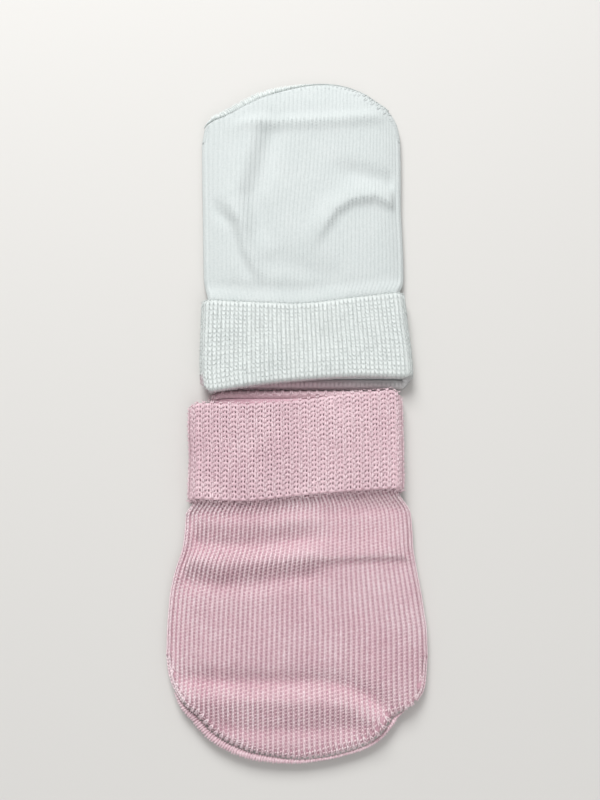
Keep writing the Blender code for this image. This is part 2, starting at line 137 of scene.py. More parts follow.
PINK = Mitten(
    name="pink", heading=-1.0, ribs=50, relief=0.62,
    tip=table(End,
        (-1.0, 78.0), (-0.98, 82.3), (-0.95, 85.2), (-0.9, 87.7), (-0.84, 90.0), (-0.76, 91.8),
        (-0.7, 94.0), (-0.62, 96.8), (-0.5, 99.3), (-0.35, 101.2), (-0.2, 102.0), (0.0, 102.3),
        (0.2, 101.5), (0.35, 100.4), (0.5, 98.8), (0.6, 96.7), (0.66, 94.3), (0.72, 91.9), (0.8, 90.8),
        (0.88, 90.2), (0.94, 88.1), (0.98, 85.0), (1.0, 78.5)),
    sides=table(Side,
        (0.0, -32.0, 29.3), (5.1, -32.1, 29.4), (12.9, -32.0, 29.35), (20.0, -31.5, 29.3),
        (28.1, -31.4, 29.2), (31.5, -31.4, 29.1), (33.8, -31.5, 30.4), (35.3, -31.9, 31.6),
        (36.8, -33.0, 32.5), (38.3, -33.8, 32.9), (42.7, -34.0, 33.15), (48.5, -34.6, 33.3),
        (54.2, -36.3, 34.1), (59.9, -37.5, 35.0), (65.5, -37.9, 35.7), (71.0, -38.05, 36.3),
        (84.6, -37.9, 36.1)),
    cuff=table(Edge,
        (-1.0, 4.7, 4.5, 34.4), (-0.92, 4.75, 4.0, 34.5), (-0.86, 4.8, 1.2, 34.6),
        (-0.78, 4.85, 0.2, 34.7), (-0.5, 4.9, 0.0, 34.9), (0.0, 3.9, 0.0, 33.4), (0.5, 1.9, 0.0, 32.2),
        (1.0, 0.6, 0.0, 31.3)),
    corner=Corner(left=1.2, right=2.6),
    belly=table(Belly,
        (0.0, 0.0), (33.0, 0.0), (40.0, 1.5), (48.0, 2.4), (56.0, 2.7), (80.0, 2.7), (94.0, 2.3),
        (100.0, 1.6), (104.0, 0.8)),
    creases=table(Crease,
        (0.8, 2.6, [(-44, 39), (-33, 40), (-22, 41), (-10, 41), (0, 40), (10, 38)]),
        (-1.3, 2.8, [(-45, 45), (-34, 46.5), (-22, 47.5), (-11, 47.2), (2, 45.5), (12, 44)]),
        (1.6, 3.0, [(-46, 48), (-34, 51), (-23, 53.2), (-11.5, 52.2), (3, 50.8), (12, 50.2)]),
        (-1.0, 2.8, [(-46, 55), (-34, 57.5), (-23, 59), (-11.5, 58.2), (3, 56), (14, 54)]),
        (1.3, 4.2, [(48, 49.4), (33, 49.9), (22, 50.2), (12, 50.8), (0, 51.5)], 0.3),
        (-1.5, 2.8, [(-46, 82), (-33, 84), (-20, 84.8), (6, 85), (13, 86.2), (19, 89), (25, 93),
            (31, 97)]),
        (0.9, 2.6, [(-42, 86), (-31, 89), (-20, 90), (0, 90.3), (13, 91), (20, 95), (24, 100)]),
        (-1.0, 2.6, [(-38, 93), (-27, 96), (-15, 97.5), (0, 97.7), (13, 97), (20, 99)]),
        (-0.5, 1.6, [(1, 53), (2, 58), (4, 63), (8, 67)])),
    under=table(Crease,
        (0.5, 3.0, [(-28, 58), (-10, 55), (8, 57), (26, 54)]),
        (0.5, 2.6, [(-24, 80), (-6, 84), (12, 82), (28, 86)]),
        (0.4, 2.4, [(-16, 70), (-2, 67), (14, 70)])),
    sway=table(Sway,
        (40.0, 0.0), (60.0, -0.8), (80.0, -1.4), (102.0, -1.4)),
    rim=table(Rim,
        (-0.94, 0.0, 0.0), (-0.86, 0.2, 1.0), (-0.78, 0.5, 1.6), (-0.5, 0.3, 1.8), (-0.25, 0.5, 1.6),
        (0.0, 1.1, 1.0), (0.3, 1.4, 0.7), (0.6, 1.2, 0.9), (0.74, 1.0, 1.0), (0.82, 0.5, 0.3),
        (0.9, 0.0, 0.0)),
)

# %% [markdown]
# ## Where the tables' zero lies
# The row's origin is in the middle of the pair. The two cuffs meet on one line across it, which the
# boxes of the solids give, and the tables' middle line lies a little to the right of the origin.

# %% Place of the tables in the frame
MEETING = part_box("pink_cuff")[1].y / MM + PAIR_GAP / 2.0
MIDDLE = 0.863
print("the cuffs meet at y =", round(MEETING, 3), "mm")


def place(mitten, points):
    """Table points (across, along, height) in millimetres as frame points in metres."""
    placed = np.array(points, float)
    placed[..., 0] += MIDDLE
    placed[..., 1] = MEETING + mitten.heading * (PAIR_GAP / 2.0 + placed[..., 1])
    return placed * MM


# %% [markdown]
# ## The smooth form of a hand
# A table gives a size at a few places, and the cloth needs it everywhere. A cubic through the rows,
# with the slope at each row taken from its neighbours, is smooth and never swings far out. numpy
# works on whole arrays at once, so ten thousand places cost hardly more than one.

# %% Smooth curves through the tables
def read_table(table, key, column, at):
    """Smooth values of a column at many places: cubic between the rows, steady past the ends."""
    keys = np.array([getattr(row, key) for row in table], float)
    values = np.array([getattr(row, column) for row in table], float)
    number, final = np.arange(len(keys)), len(keys) - 1
    low, high = np.maximum(number - 1, 0), np.minimum(number + 1, final)
    slopes = (values[high] - values[low]) / (keys[high] - keys[low])
    at = np.clip(np.asarray(at, float), keys[0], keys[-1])
    row = np.clip(np.searchsorted(keys, at, side="right") - 1, 0, final - 1)
    span = keys[row + 1] - keys[row]
    t = (at - keys[row]) / span
    return (values[row] * (1 + 2 * t) * (1 - t) ** 2 + values[row + 1] * t * t * (3 - 2 * t)
            + slopes[row] * span * t * (1 - t) ** 2 - slopes[row + 1] * span * t * t * (1 - t))


def smooth_step(t):
    t = np.clip(t, 0.0, 1.0)
    return t * t * (3.0 - 2.0 * t)


PATH_FADE = 4.0               # a crease rises over a quarter of its length at each end


def near_path(across, along, path):
    """Distance to a line of points, negative on its right, and a fade to 0 at the line's two ends."""
    best = np.full(np.shape(across), np.inf)
    body, side = np.zeros(np.shape(across)), np.ones(np.shape(across))
    for i in range(len(path) - 1):
        start, run = np.array(path[i], float), np.subtract(path[i + 1], path[i]).astype(float)
        t = ((across - start[0]) * run[0] + (along - start[1]) * run[1]) / (run @ run)
        t = np.clip(t, 0.0, 1.0)
        gap = np.hypot(across - start[0] - run[0] * t, along - start[1] - run[1] * t)
        place_on_path = (i + t) / (len(path) - 1)
        closer = gap < best
        best = np.where(closer, gap, best)
        turn = run[0] * (along - start[1]) - run[1] * (across - start[0])
        side = np.where(closer, np.where(turn < 0.0, -1.0, 1.0), side)
        fade = smooth_step(PATH_FADE * np.minimum(place_on_path, 1.0 - place_on_path))
        body = np.where(closer, fade, body)
    return best * side, body


# %% Outline, folds and heights of a hand
def tip_end(mitten, u):
    """Length of the flat cloth at u, from -1 at the left side to 1 at the right."""
    return read_table(mitten.tip, "across", "along", u)


def across_at(mitten, u, along):
    left = read_table(mitten.sides, "along", "left", along) + BULGE
    right = read_table(mitten.sides, "along", "right", along) - BULGE
    return left + (right - left) * (u + 1.0) / 2.0


def hem_at(mitten, u):
    return read_table(mitten.cuff, "across", "hem", u)


def fold_at(mitten, u, upper):
    return read_table(mitten.cuff, "across", "fold" if upper else "back", u)


def corner_delay(mitten, u, run):
    """How much further back the cloth lies on the rounded side, run from the fold: round corners."""
    depth = np.where(u < 0.0, mitten.corner.left, mitten.corner.right)
    return depth * np.clip(1.0 - run / CORNER_REACH, 0.0, 1.0) ** 2


CREASE_FADE = 12.0            # how fast the creases fade towards the sides
CROWN_EDGE = 6                # a high power keeps the crown flat in the middle and round at the sides


def creased(creases, across, along):
    """Sum of soft ridges and troughs, each along its own line of points."""
    height = 0.0
    for crease in creases:
        gap, body = near_path(across, along, crease.path)
        width = crease.width * np.where(gap < 0.0, crease.sharp, 1.0)
        height = height + crease.height * body * np.exp(-(gap / width) ** 2)
    return height


def levels(mitten, u, along):
    """Heights of the underside and of the top of a hand."""
    past_hem = along - hem_at(mitten, u) - SEAM_GAP
    low = LIFT * (1.0 - smooth_step(past_hem / NECK))
    across = across_at(mitten, u, along)
    loose = smooth_step(past_hem / NECK) * smooth_step(CREASE_FADE * (1.0 - np.abs(u)))
    crown = read_table(mitten.belly, "along", "height", along) * (1.0 - u ** CROWN_EDGE)
    crown = crown + loose * creased(mitten.creases, across, along)
    under = loose * creased(mitten.under, across, along)
    return low + under, low + FLAT + np.maximum(crown, -HOLLOW / 2.0)


# %% [markdown]
# ## One skin that goes all round
# The tube has no side seams: its ribs go over the rounded sides from the upper face to the lower one.
# So a place on the cloth is given by a rib number, counted from side to side, and a run from the
# mouth to the tip. The sides are quarter rounds that join the two faces at half height, and each rib
# goes over the tip in a quarter round too, down to the seam.

# %% Places on the skin of a hand
SIDE_RIBS = 2                 # ribs on the quarter round at each side of a face
QUARTER = math.pi / 2.0 * BULGE
TIP_STEP = 0.006              # how far the tip's line is probed each way, in u
HALF_WIDTH = 32.0             # about half a hand's width, which turns a shift into a step in u
SETTLE_STEPS = 8              # rounds until a leaning rib has found its end


def unit(vectors):
    return vectors / np.maximum(np.linalg.norm(vectors, axis=-1, keepdims=True), 1e-12)


def side_place(number, count, on_side):
    """u across the flat part, and how far the place has turned round the side."""
    flat = count - 2.0 * on_side
    u = np.clip(2.0 * (number - on_side) / flat - 1.0, -1.0, 1.0)
    past = np.clip(np.abs(number - count / 2.0) - flat / 2.0, 0.0, on_side)
    return u, past / on_side * math.pi / 2.0


def rib_place(mitten, rib):
    return side_place(np.asarray(rib, float), mitten.ribs + 2 * SIDE_RIBS, SIDE_RIBS)


def mouth_at(mitten, u, upper):
    """Where the hand's cloth starts, past the cuff's lip."""
    return fold_at(mitten, u, upper) + LIP


def tip_normals(mitten, u):
    """Flat outward directions of the tip's edge."""
    low, high = np.clip(u - TIP_STEP, -1.0, 1.0), np.clip(u + TIP_STEP, -1.0, 1.0)
    a, b = tip_end(mitten, low), tip_end(mitten, high)
    dx, dy = across_at(mitten, high, b) - across_at(mitten, low, a), b - a
    length = np.maximum(np.hypot(dx, dy), 1e-9)
    return -dy / length, dx / length


def swayed(mitten, u, along):
    """Where a rib lies at some length: the ribs lean sideways, most of all in the middle."""
    return u + read_table(mitten.sway, "along", "shift", along) / HALF_WIDTH * (1.0 - u * u)


def rib_end(mitten, u):
    """Length of the flat part of a leaning rib."""
    end = tip_end(mitten, u)
    for _ in range(SETTLE_STEPS):
        end = tip_end(mitten, swayed(mitten, u, end))
    return end


def between_faces(mitten, u_top, u_bottom, along_top, along_bottom, depth, turn, outward, reach, upper):
    """A place on the upper or lower face, or on the round side between them."""
    _, top_high = levels(mitten, u_top, along_top)
    bottom_low, _ = levels(mitten, u_bottom, along_bottom)
    share = (1.0 + np.cos(turn) * (1.0 if upper else -1.0)) / 2.0
    across_top = across_at(mitten, u_top, along_top)
    across_bottom = across_at(mitten, u_bottom, along_bottom)
    top, bottom = top_high - depth, bottom_low + depth
    x = across_bottom + (across_top - across_bottom) * share
    y = along_bottom + (along_top - along_bottom) * share * share
    y = y + corner_delay(mitten, u_top, along_top - fold_at(mitten, u_top, True)) * np.sin(turn) ** 2
    z = bottom + (top - bottom) * share
    return np.stack([x, y, z], axis=-1) + outward * ((reach - depth) * np.sin(turn))[..., None]


def hand_skin(mitten, rib, run, upper, depth=0.0):
    """Places on a hand's skin: a rib number, and a run in millimetres from the mouth over the tip."""
    rib, run, depth = np.broadcast_arrays(*(np.asarray(v, float) for v in (rib, run, depth)))
    u, side_turn = rib_place(mitten, rib)
    end = rib_end(mitten, u)
    start_top, start_bottom = mouth_at(mitten, u, True), mouth_at(mitten, u, False)
    length = end - (start_top if upper else start_bottom)
    share = np.clip(run / length, 0.0, 1.0)
    tip_turn = np.clip((run - length) / QUARTER, 0.0, 1.0) * math.pi / 2.0
    u_tip = swayed(mitten, u, end)
    nx, ny = tip_normals(mitten, u_tip)
    on_side = side_turn > 0.0
    nx, ny = np.where(on_side, np.sign(u), nx), np.where(on_side, 0.0, ny)
    outward = np.stack([nx, ny, np.zeros(u.shape)], axis=-1)
    along_top = start_top + (end - start_top) * share
    along_bottom = start_bottom + (end - start_bottom) * share
    reach = BULGE + np.where(on_side, 0.0, read_table(mitten.rim, "across", "cloth", u_tip))
    return between_faces(mitten, swayed(mitten, u, along_top), swayed(mitten, u, along_bottom),
                         along_top, along_bottom, depth, np.maximum(side_turn, tip_turn),
                         outward, reach, upper)


def flat_length(mitten, rib, upper):
    u, _ = rib_place(mitten, rib)
    return rib_end(mitten, u) - mouth_at(mitten, u, upper)


# %% Places on the skin of a cuff
CUFF_COLUMNS = 26             # stitch columns on one face of a cuff, its two round sides included
CUFF_SIDE = 2
HEM_ROUND = CLOTH / 2.0
FOLD_ROUND = CLOTH + SEAM_GAP / 2.0
HEM_ARC, FOLD_ARC = math.pi * HEM_ROUND, math.pi * FOLD_ROUND
CUFF_LEG = HEM_REACH - HEM_ROUND - FOLD_ROUND
CUFF_RUN = HEM_ARC + CUFF_LEG + FOLD_ARC + LIP - SEAM_GAP - FOLD_ROUND


def cuff_path(s, depth):
    """The cuff's outside cut lengthwise, s from the inner edge of the hem round to the end of the lip:
    distance from the fold, and height over the hand's cloth."""
    hem = np.clip(s, 0.0, HEM_ARC) / HEM_ROUND - math.pi / 2.0
    fold = math.pi / 2.0 - np.clip(s - HEM_ARC - CUFF_LEG, 0.0, FOLD_ARC) / FOLD_ROUND
    leg = np.clip(s - HEM_ARC, 0.0, CUFF_LEG)
    lip = np.clip(s - HEM_ARC - CUFF_LEG - FOLD_ARC, 0.0, None)
    on_hem, on_leg = s < HEM_ARC, s < HEM_ARC + CUFF_LEG
    run = np.where(on_hem, HEM_REACH - HEM_ROUND + (HEM_ROUND - depth) * np.cos(hem),
                   np.where(on_leg, HEM_REACH - HEM_ROUND - leg,
                            FOLD_ROUND - (FOLD_ROUND - depth) * np.cos(fold) + lip))
    height = np.where(on_hem, SEAM_GAP + HEM_ROUND + (HEM_ROUND - depth) * np.sin(hem),
                      np.where(on_leg, SEAM_GAP + CLOTH - depth,
                               SEAM_GAP / 2.0 + (FOLD_ROUND - depth) * np.sin(fold)))
    return run, height


SWELL, SWELL_WAVES = 0.25, 0.22
SWELL_EDGE = 8.0              # the unevenness fades over this length at the hem and the fold


def cuff_swell(mitten, u, run):
    """A gentle unevenness of a cuff's upper layer, which lies on three others."""
    free = smooth_step(4.0 * (1.0 - np.abs(u))) * smooth_step(np.minimum(run, HEM_REACH - run) / SWELL_EDGE)
    waves = 0.5 * np.sin(4.1 * u + 0.16 * run + mitten.heading) + 0.5 * np.sin(7.3 * u - 0.23 * run)
    return free * (SWELL + SWELL_WAVES * waves)


def cuff_place(mitten, column, run, height, upper):
    u, turn = side_place(column, CUFF_COLUMNS, CUFF_SIDE)
    alongs = []
    for face in (True, False):
        fold = fold_at(mitten, u, face)
        stretch = hem_at(mitten, u) - fold - HEM_REACH
        alongs.append(fold + run + stretch * smooth_step((run - LIP) / (HEM_REACH - LIP)))
    outward = np.stack([np.sign(u), np.zeros(u.shape), np.zeros(u.shape)], axis=-1)
    if upper:
        height = height + cuff_swell(mitten, u, run)
    return between_faces(mitten, u, u, alongs[0], alongs[1], -height, turn, outward, BULGE, upper)


def cuff_skin(mitten, column, s, upper, depth=0.0):
    column, s, depth = np.broadcast_arrays(*(np.asarray(v, float) for v in (column, s, depth)))
    run, height = cuff_path(s, depth)
    return cuff_place(mitten, column, run, height, upper)


# %% [markdown]
# ## Making meshes
# Most pieces are grids of points, so one helper joins a grid into quads. Another makes the object,
# welds the edges that meet, and points all the faces outward before anything else is done.

# %% Mesh helpers
WELD = 0.004 * MM             # points closer than this are one point


def linked(thing):
    bpy.context.collection.objects.link(thing)
    return thing


def grid_faces(rows, columns, first=0):
    """Quads over a grid of points that are numbered row by row."""
    corner = first + np.arange(rows - 1)[:, None] * columns + np.arange(columns - 1)[None, :]
    quads = np.stack([corner, corner + 1, corner + columns + 1, corner + columns], axis=-1)
    return quads.reshape(-1, 4).tolist()


def new_piece(name, points, faces, material=None, weld=WELD, slit=None):
    """A mesh object at the origin, welded, with its faces pointing out."""
    mesh = bpy.data.meshes.new(name)
    mesh.from_pydata(np.asarray(points).tolist(), [], faces)
    # the slit attribute carries painted shade: how dark each point of a cuff's slits is painted
    if slit is not None:
        layer = mesh.attributes.new("slit", "FLOAT", "POINT")
        layer.data.foreach_set("value", np.asarray(slit, np.float32).ravel())
    shape = bmesh.new()
    shape.from_mesh(mesh)
    if weld:
        bmesh.ops.remove_doubles(shape, verts=shape.verts[:], dist=weld)
    bmesh.ops.recalc_face_normals(shape, faces=shape.faces[:])
    shape.to_mesh(mesh)
    shape.free()
    mesh.shade_smooth()
    if material:
        mesh.materials.append(material)
    return reported(linked(bpy.data.objects.new(name, mesh)))


def reported(piece):
    print(piece.name, sum(len(p.vertices) - 2 for p in piece.data.polygons), "triangles")
    return piece


def strand(path, radii, sides, flatness=1.0):
    """A plump strand of yarn with pointed ends, as points and faces in millimetres."""
    path = np.array(path, float)
    points, faces = [path[0]], []
    for i, radius in enumerate(radii, start=1):
        tangent = unit(path[i + 1] - path[i - 1])
        side = unit(np.cross(tangent, [0.0, 0.0, 1.0]))
        lift = np.cross(side, tangent)
        for k in range(sides):
            angle = 2.0 * math.pi * (k + 0.5) / sides
            aside, above = side * radius * math.cos(angle), lift * radius * flatness * math.sin(angle)
            points.append(path[i] + aside + above)
    points.append(path[-1])
    rings = len(radii)
    for k in range(sides):
        following = (k + 1) % sides
        faces.append((0, 1 + following, 1 + k))
        for i in range(rings - 1):
            here, there = 1 + i * sides, 1 + (i + 1) * sides
            faces.append((here + k, here + following, there + following, there + k))
        last = 1 + (rings - 1) * sides
        faces.append((last + k, last + following, 1 + rings * sides))
    return points, faces


def joined(parts):
    points, faces = [], []
    for part_points, part_faces in parts:
        first = len(points)
        points += list(part_points)
        faces += [tuple(first + i for i in face) for face in part_faces]
    return points, faces


def mirrored(part):
    points, faces = part
    return [p * [-1.0, 1.0, 1.0] for p in points], [face[::-1] for face in faces]


# %% [markdown]
# ## Materials
# All the cloth is cotton yarn. One node group makes the effects that every material shares: a soft
# change of colour from place to place, as dyed yarn has, the fine fibres that break up the light, and
# painted shade that darkens the slits of the cuffs.
# A helper adds a node and fills its sockets at once, so that a tree reads from top to bottom.
# Each tone has a lighter yarn for the stitches, and a deeper ground for the cloth behind them, because
# less light gets down into the grooves.

# %% Node helpers
def fill(tree, node, sockets):
    """Fill a node's sockets: another node's output is linked, and anything else is a plain value."""
    for key, value in sockets.items():
        if isinstance(value, bpy.types.NodeSocket):
            tree.links.new(value, node.inputs[key])
        else:
            node.inputs[key].default_value = value


def add_node(tree, kind, sockets, output=0, **settings):
    """Add a node with its settings and sockets filled, and give its output."""
    node = tree.nodes.new(kind)
    for key, value in settings.items():
        setattr(node, key, value)
    fill(tree, node, sockets)
    return node.outputs[output]


def new_group(name, kind, inputs, outputs):
    """A node group with named sockets, and its two end nodes."""
    tree = bpy.data.node_groups.new(name, kind)
    for label, (socket_kind, value) in inputs.items():
        socket = tree.interface.new_socket(label, in_out="INPUT", socket_type="NodeSocket" + socket_kind)
        if value is not None:
            socket.default_value = value
    for label, socket_kind in outputs.items():
        tree.interface.new_socket(label, in_out="OUTPUT", socket_type="NodeSocket" + socket_kind)
    return tree, tree.nodes.new("NodeGroupInput").outputs, tree.nodes.new("NodeGroupOutput")


# %% The cotton group
YARN_BLEND = (0.9, 1.7)       # noise at which the yarn is all deep, and all light
SLIT_BLEND = (0.05, 0.5)      # mark at which a slit starts to darken, and is fully dark
NOISES = {"patches": (90.0, 3.0), "fibres": (3200.0, 2.0), "flecks": (1500.0, 1.0)}   # scale, detail
FLECK_SHARE = 1.6             # flecks count this much more than the patches
FIBRE_HEIGHT = 0.08 * MM
GREY = ("Color", (0.8, 0.8, 0.8, 1.0))


def cotton_group():
    """Colour and normal of cotton yarn, from Object coordinates."""
    tree, given, result = new_group(
        "cotton_yarn", "ShaderNodeTree",
        {"Light": GREY, "Deep": GREY, "Slit": GREY, "Fibre": ("Float", 0.3)},
        {"Color": "Color", "Normal": "Vector"})
    cloth = add_node(tree, "ShaderNodeTexCoord", {}, "Object")
    noise = {}
    for name, (scale, detail) in NOISES.items():
        sockets = {"Vector": cloth, "Scale": scale, "Detail": detail}
        noise[name] = add_node(tree, "ShaderNodeTexNoise", sockets, "Fac")
    both = add_node(tree, "ShaderNodeMath", {0: noise["flecks"], 1: FLECK_SHARE, 2: noise["patches"]},
                    operation="MULTIPLY_ADD")
    share = add_node(tree, "ShaderNodeMapRange",
                     {"Value": both, "From Min": YARN_BLEND[0], "From Max": YARN_BLEND[1]})
    yarn = add_node(tree, "ShaderNodeMix", {"Factor": share, "A": given["Deep"], "B": given["Light"]},
                    "Result", data_type="RGBA")
    # painted shade in the slits: the slit attribute blends the colour towards the dark slit tone, standing
    # in for the shade down in the pits
    pit = add_node(tree, "ShaderNodeAttribute", {}, "Fac", attribute_name="slit")
    dark = add_node(tree, "ShaderNodeMapRange",
                    {"Value": pit, "From Min": SLIT_BLEND[0], "From Max": SLIT_BLEND[1]})
    color = add_node(tree, "ShaderNodeMix", {"Factor": dark, "A": yarn, "B": given["Slit"]},
                     "Result", data_type="RGBA")
    bump = add_node(tree, "ShaderNodeBump", {"Distance": FIBRE_HEIGHT, "Strength": given["Fibre"],
                                             "Height": noise["fibres"]})
    fill(tree, result, {"Color": color, "Normal": bump})
    return tree


COTTON = cotton_group()
print(len(COTTON.nodes), "nodes in", COTTON.name)

# %% Painted light thrown back by the pink cuff
Mask = namedtuple("Mask", "axis full none most least")
# where the painted pink reflection falls on the white cuff: low down, near the meeting line, and less
# towards the right
PINK_BOUNCE_MASKS = [Mask("Z", 4.6 * MM, 6.2 * MM, 1.0, 0.0),
               Mask("Y", (MEETING + 2.8) * MM, (MEETING + 4.6) * MM, 1.0, 0.0),
               Mask("X", 0.0, 30.0 * MM, 0.8, 0.2)]


def pink_bounce_group():
    """The low side of the white cuff faces the pink one, and the pink light thrown back from it is painted
    into its colour.
    """
    tree, given, result = new_group(
        "blush", "ShaderNodeTree", {"Color": GREY, "Blush": ("Color", (0.60, 0.42, 0.47, 1.0))},
        {"Color": "Color"})
    cloth = add_node(tree, "ShaderNodeTexCoord", {}, "Object")
    share = 1.0
    for mask in PINK_BOUNCE_MASKS:
        at = add_node(tree, "ShaderNodeSeparateXYZ", {"Vector": cloth}, mask.axis)
        amount = add_node(tree, "ShaderNodeMapRange",
                          {"Value": at, "From Min": mask.full, "From Max": mask.none,
                           "To Min": mask.most, "To Max": mask.least})
        share = add_node(tree, "ShaderNodeMath", {0: share, 1: amount}, operation="MULTIPLY")
    color = add_node(tree, "ShaderNodeMix", {"Factor": share, "A": given["Color"], "B": given["Blush"]},
                     "Result", data_type="RGBA")
    fill(tree, result, {"Color": color})
    return tree


PINK_BOUNCE = pink_bounce_group()

# %% One material for each tone and part
Tone = namedtuple("Tone", "light deep")
# painted light and shade: the hands' ground is darker than their yarn, for the shade in the grooves; the
# white hands' tones are darker than the white cuffs', though all are one white cotton, to make up for the
# stronger light on the hands and the shade among the cuffs' strands
PALETTE = {
    ("white", "yarn"): Tone(light=(0.585, 0.62, 0.615), deep=(0.525, 0.565, 0.56)),
    ("white", "ground"): Tone(light=(0.57, 0.605, 0.60), deep=(0.52, 0.56, 0.555)),
    ("white", "cuff"): Tone(light=(0.69, 0.725, 0.71), deep=(0.64, 0.68, 0.67)),
    ("white", "cuff_ground"): Tone(light=(0.70, 0.735, 0.72), deep=(0.65, 0.69, 0.68)),
    ("pink", "yarn"): Tone(light=(0.96, 0.84, 0.865), deep=(0.82, 0.61, 0.66)),
    ("pink", "ground"): Tone(light=(0.66, 0.43, 0.49), deep=(0.53, 0.305, 0.365)),
    ("pink", "cuff"): Tone(light=(0.83, 0.67, 0.705), deep=(0.62, 0.43, 0.48)),
    ("pink", "cuff_ground"): Tone(light=(0.77, 0.59, 0.63), deep=(0.60, 0.41, 0.46)),
}
# painted shade: the dark tone that the slits are painted towards, for the shade inside them
SLIT_SHADE = {"white": (0.52, 0.57, 0.56), "pink": (0.10, 0.035, 0.05)}
FIBRE = 0.35                  # strength of the fibres' bump


def cotton_material(name, part, tone):
    material = bpy.data.materials.new(f"{name}_{part}")
    material.use_nodes = True
    tree = material.node_tree
    yarn = add_node(tree, "ShaderNodeGroup", {"Light": (*tone.light, 1.0), "Deep": (*tone.deep, 1.0),
                                              "Slit": (*SLIT_SHADE[name], 1.0), "Fibre": FIBRE},
                    node_tree=COTTON).node
    color = yarn.outputs["Color"]
    # painted reflection: the white cuff's colour takes the pink light thrown back by the pink cuff
    if name == "white" and part.startswith("cuff"):
        color = add_node(tree, "ShaderNodeGroup", {"Color": color}, node_tree=PINK_BOUNCE)
    shader = tree.nodes["Principled BSDF"]
    fill(tree, shader, {"Base Color": color, "Normal": yarn.outputs["Normal"]})
    shader.inputs["Roughness"].default_value = 0.85
    shader.inputs["Specular IOR Level"].default_value = 0.2
    shader.inputs["Sheen Weight"].default_value = 0.15
    shader.inputs["Sheen Roughness"].default_value = 0.5
    return material


MATERIALS = {key: cotton_material(*key, tone) for key, tone in PALETTE.items()}
print(len(MATERIALS), "materials")

# %% [markdown]
# ## The cloth of the hands
# The knit is a one-by-one rib: every second column of stitches stands up. The relief of the ribs is
# in the mesh, with four points across each rib. The inner skin is never seen up close, so it has one
# point for each rib, and the two skins are joined round the mouth.

# %% Build a hand's cloth
STITCH_ROOM = {"white": 0.07, "pink": 0.20}   # the ground lies this much deeper than the stitches
POINTS_PER_RIB = 4
COARSE_ROWS, FINE_ROWS, INNER_ROWS = 8, 72, 24
COARSE_SHARE = 0.2            # share of the length that stays under the cuff
RIM_STEPS = (0.25, 0.5, 0.75, 1.0)


def skin_grid(mitten, upper, ribs, shares, depth):
    """A grid of points over a face, from the mouth to the tip's rim."""
    length = flat_length(mitten, ribs, upper)
    runs = [length * share for share in shares] + [length + QUARTER * step for step in RIM_STEPS]
    return np.array([hand_skin(mitten, ribs, run, upper, depth) for run in runs])


def grid_normals(grid, upper):
    normal = unit(np.cross(np.gradient(grid, axis=1), np.gradient(grid, axis=0)))
    return normal if upper else -normal


def share_edges(grids, edges):
    """Make the two faces share their edges."""
    for edge in edges:
        middle = (grids[True][edge] + grids[False][edge]) / 2.0
        grids[True][edge] = middle
        grids[False][edge] = middle


def make_hand_cloth(mitten):
    ribs = mitten.ribs + 2 * SIDE_RIBS
    outer_ribs = np.linspace(0.0, ribs, ribs * POINTS_PER_RIB + 1)
    inner_ribs = np.linspace(0.0, ribs, ribs + 1)
    shares = np.concatenate([np.linspace(0.0, COARSE_SHARE, COARSE_ROWS, endpoint=False),
                             np.linspace(COARSE_SHARE, 1.0, FINE_ROWS)])
    groove = mitten.relief * (0.5 + 0.5 * np.cos(2.0 * math.pi * outer_ribs))
    points, faces, mouths, count = [], [], {}, 0
    for skin, numbers, steps, depth in (("outer", outer_ribs, shares, 0.0),
                                        ("inner", inner_ribs, np.linspace(0.0, 1.0, INNER_ROWS), CLOTH)):
        grids = {upper: skin_grid(mitten, upper, numbers, steps, depth) for upper in (True, False)}
        if skin == "outer":
            for upper, grid in grids.items():
                grid -= grid_normals(grid, upper) * (STITCH_ROOM[mitten.name] + groove)[None, :, None]
        share_edges(grids, (np.s_[:, 0], np.s_[:, -1], np.s_[-1, :]))
        for upper, grid in grids.items():
            rows, columns = grid.shape[:2]
            faces += grid_faces(rows, columns, count)
            mouths[skin, upper] = list(range(count, count + columns))
            points.append(grid.reshape(-1, 3))
            count += rows * columns
    for upper in (True, False):
        outer, inner = mouths["outer", upper], mouths["inner", upper]
        for j in range(ribs):
            start = j * POINTS_PER_RIB
            faces.append([*outer[start:start + POINTS_PER_RIB + 1], inner[j + 1], inner[j]])
    return new_piece(f"{mitten.name}_hand_cloth", place(mitten, np.concatenate(points)), faces,
                     MATERIALS[mitten.name, "ground"])


def for_both(make):
    return {mitten.name: make(mitten) for mitten in (WHITE, PINK)}


hand_cloth = for_both(make_hand_cloth)

# %% [markdown]
# ## Guides for the stitches
# A stitch is made once, lying at the origin: across is X, along the column is Y, and out of the cloth
# is Z. Geometry Nodes then copy it to guide points. Each guide carries three vectors: the direction of
# its column, the direction out of the cloth, and the size of its cell. They are read from the skin
# itself, by looking a little way to each side of the place.

# %% Guide points with directions
ALONG_STEP, ACROSS_STEP = 0.3, 0.2   # how far the skin is probed each way: millimetres, and cells
MOST = 1.5                    # a stitch never stretches further than this
LEAST_WIDTH, LEAST_LENGTH, CLOSED_UP = 0.35, 0.5, 0.1


def new_guide(name, points, vectors):
    """A mesh of single points that carry named vectors."""
    mesh = bpy.data.meshes.new(name)
    mesh.from_pydata(points.tolist(), [], [])
    for key, values in vectors.items():
        layer = mesh.attributes.new(key, "FLOAT_VECTOR", "POINT")
        layer.data.foreach_set("vector", values.astype(np.float32).ravel())
    return linked(bpy.data.objects.new(name, mesh))


